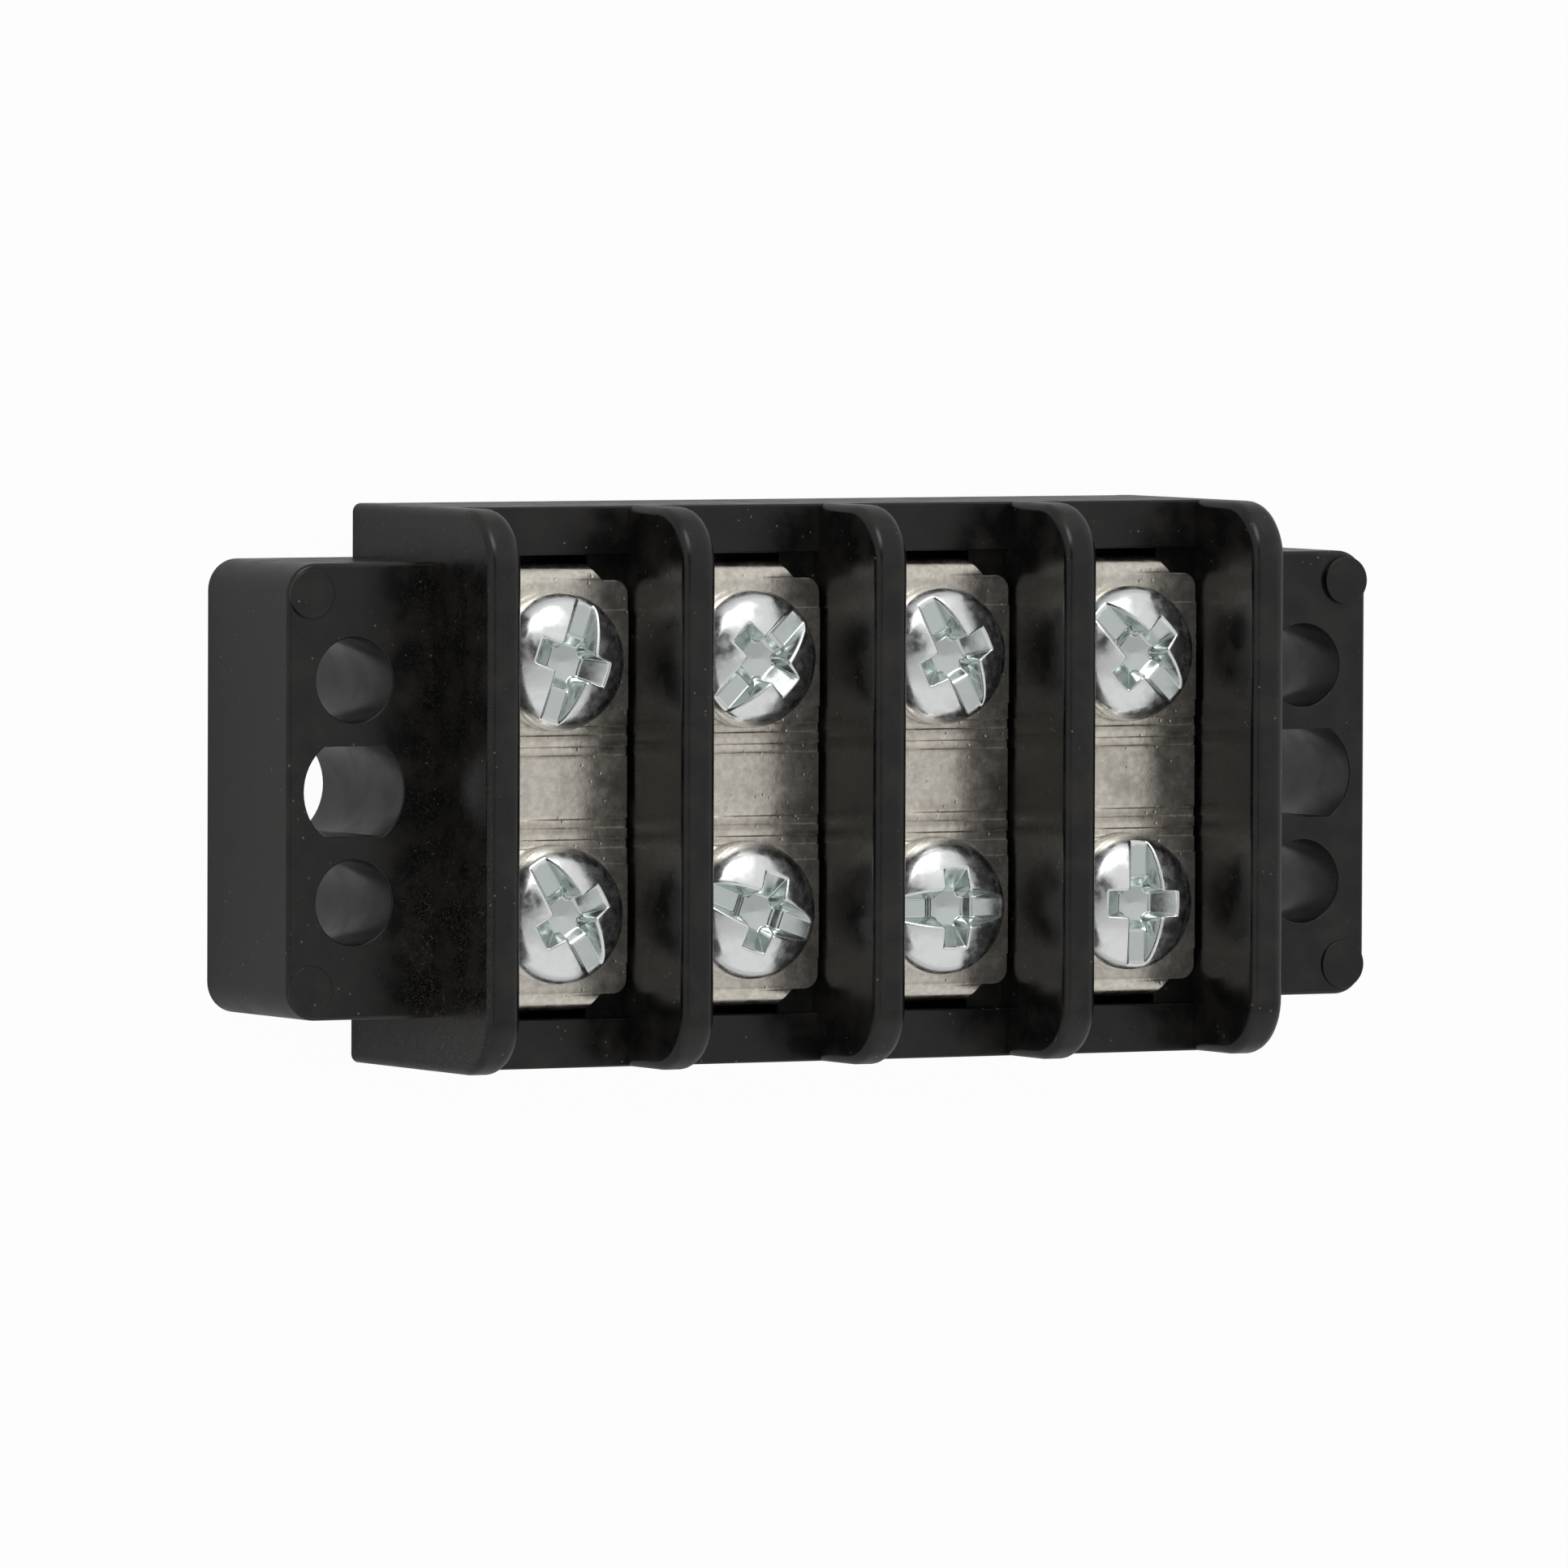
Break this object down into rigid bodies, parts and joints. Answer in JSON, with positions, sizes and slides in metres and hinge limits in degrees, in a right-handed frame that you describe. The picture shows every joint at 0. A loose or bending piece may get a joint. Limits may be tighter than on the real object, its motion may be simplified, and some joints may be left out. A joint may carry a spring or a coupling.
{
  "type": "barrier terminal strip",
  "caption": "Double-row barrier terminal strip: black moulded base with barriers and drilled ears, plated terminal plates and slotted cross-recess screws.",
  "frame": {"origin": "middle of the flat mounting face, under the middle of the strip", "axes": "+X along the strip, +Y across it from screw row b to row a, +Z out of the mounting face towards the screw heads"},
  "size_m": [0.063, 0.0286, 0.0152],
  "materials": {
    "black_moulding": "moulded, satin gloss, black",
    "nickel_plated_brass": "nickel plate over rolled brass, satin",
    "zinc_plated_steel": "bright blue-white zinc plate"
  },
  "bodies": {
    "strip": {"housing": "black_moulding", "plate_1": "nickel_plated_brass", "plate_2": "nickel_plated_brass", "plate_3": "nickel_plated_brass", "plate_4": "nickel_plated_brass"},
    "screw_a1": {"screw_a1": "zinc_plated_steel"},
    "screw_a2": {"screw_a2": "zinc_plated_steel"},
    "screw_a3": {"screw_a3": "zinc_plated_steel"},
    "screw_a4": {"screw_a4": "zinc_plated_steel"},
    "screw_b1": {"screw_b1": "zinc_plated_steel"},
    "screw_b2": {"screw_b2": "zinc_plated_steel"},
    "screw_b3": {"screw_b3": "zinc_plated_steel"},
    "screw_b4": {"screw_b4": "zinc_plated_steel"}
  },
  "joints": [
    {"name": "turn_a1", "type": "hinge", "parent": "strip", "child": "screw_a1", "pos_m": [-0.01666, 0.00645, 0.00955], "axis": [0, 0, 1], "range_deg": [0, 1530]},
    {"name": "turn_a2", "type": "hinge", "parent": "strip", "child": "screw_a2", "pos_m": [-0.00556, 0.00645, 0.00955], "axis": [0, 0, 1], "range_deg": [0, 1530]},
    {"name": "turn_a3", "type": "hinge", "parent": "strip", "child": "screw_a3", "pos_m": [0.00556, 0.00645, 0.00955], "axis": [0, 0, 1], "range_deg": [0, 1530]},
    {"name": "turn_a4", "type": "hinge", "parent": "strip", "child": "screw_a4", "pos_m": [0.01666, 0.00645, 0.00955], "axis": [0, 0, 1], "range_deg": [0, 1530]},
    {"name": "turn_b1", "type": "hinge", "parent": "strip", "child": "screw_b1", "pos_m": [-0.01666, -0.00645, 0.00955], "axis": [0, 0, 1], "range_deg": [0, 1530]},
    {"name": "turn_b2", "type": "hinge", "parent": "strip", "child": "screw_b2", "pos_m": [-0.00556, -0.00645, 0.00955], "axis": [0, 0, 1], "range_deg": [0, 1530]},
    {"name": "turn_b3", "type": "hinge", "parent": "strip", "child": "screw_b3", "pos_m": [0.00556, -0.00645, 0.00955], "axis": [0, 0, 1], "range_deg": [0, 1530]},
    {"name": "turn_b4", "type": "hinge", "parent": "strip", "child": "screw_b4", "pos_m": [0.01666, -0.00645, 0.00955], "axis": [0, 0, 1], "range_deg": [0, 1530]}
  ]
}
